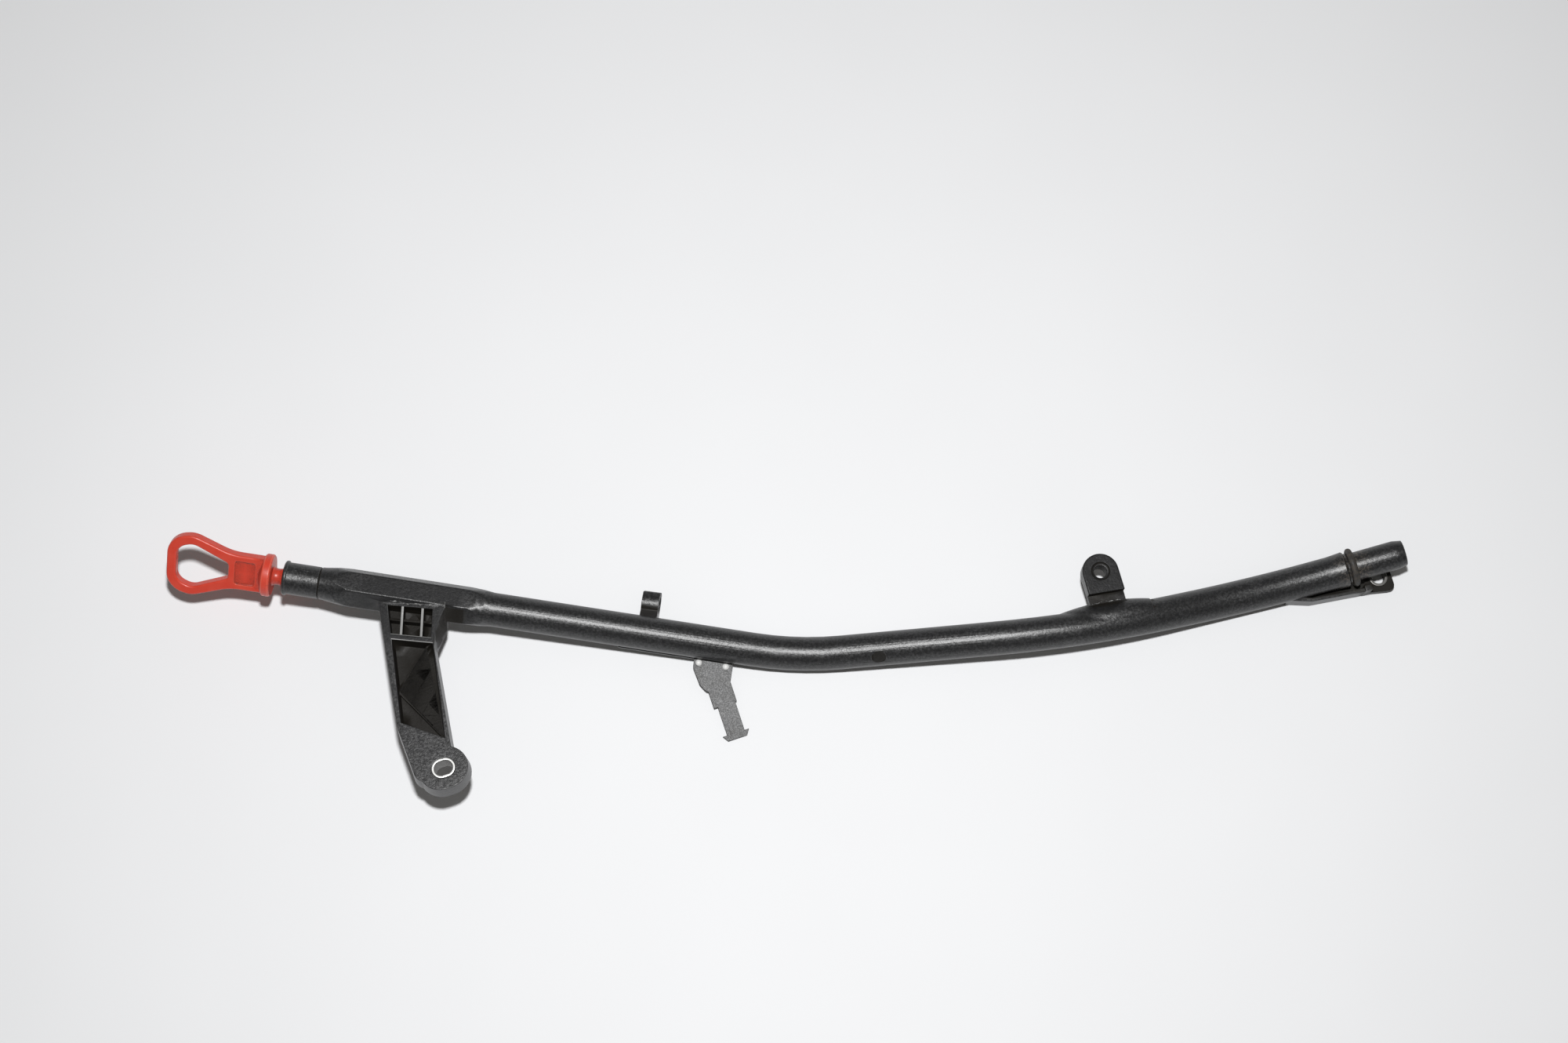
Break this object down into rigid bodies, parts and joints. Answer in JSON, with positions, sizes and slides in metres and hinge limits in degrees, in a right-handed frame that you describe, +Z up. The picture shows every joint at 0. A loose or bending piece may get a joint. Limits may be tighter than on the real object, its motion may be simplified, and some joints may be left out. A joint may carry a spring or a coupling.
{
  "type": "engine oil dipstick with guide tube",
  "caption": "Loop-handled oil dipstick seated in a bent moulded guide tube with a ribbed bracket arm, bolt lug, cable clip, connector plate and sealed spigot.",
  "frame": {"origin": "centre of the footprint's bounding box, on the floor it lies on", "axes": "+X along the tube from the handle to the spigot, +Y towards the bolt lug, +Z up from the floor"},
  "size_m": [0.6068, 0.129, 0.0455],
  "materials": {
    "black_nylon": "satin, mottled by glass fibre",
    "bright_steel": "bright",
    "grey_sheet": "dull",
    "rivet_metal": "bright",
    "black_rubber": "dusty",
    "red_nylon": "semi-gloss",
    "spring_steel": "oiled"
  },
  "bodies": {
    "guide": {"guide_tube": "black_nylon", "arm_slot_liner": "bright_steel", "foot_bush": "bright_steel", "connector_plate": "grey_sheet", "plate_rivets": "rivet_metal", "spigot_o_ring": "black_rubber"},
    "dipstick": {"dipstick_handle": "red_nylon", "plug_seal": "black_rubber", "dipstick_blade": "spring_steel"}
  },
  "joints": [
    {"name": "dipstick_pull", "type": "slide", "parent": "guide", "child": "dipstick", "axis": [-0.9869, 0.1361, 0.0865], "range_m": [0, 0.56], "deforming": ["dipstick_blade"]}
  ]
}
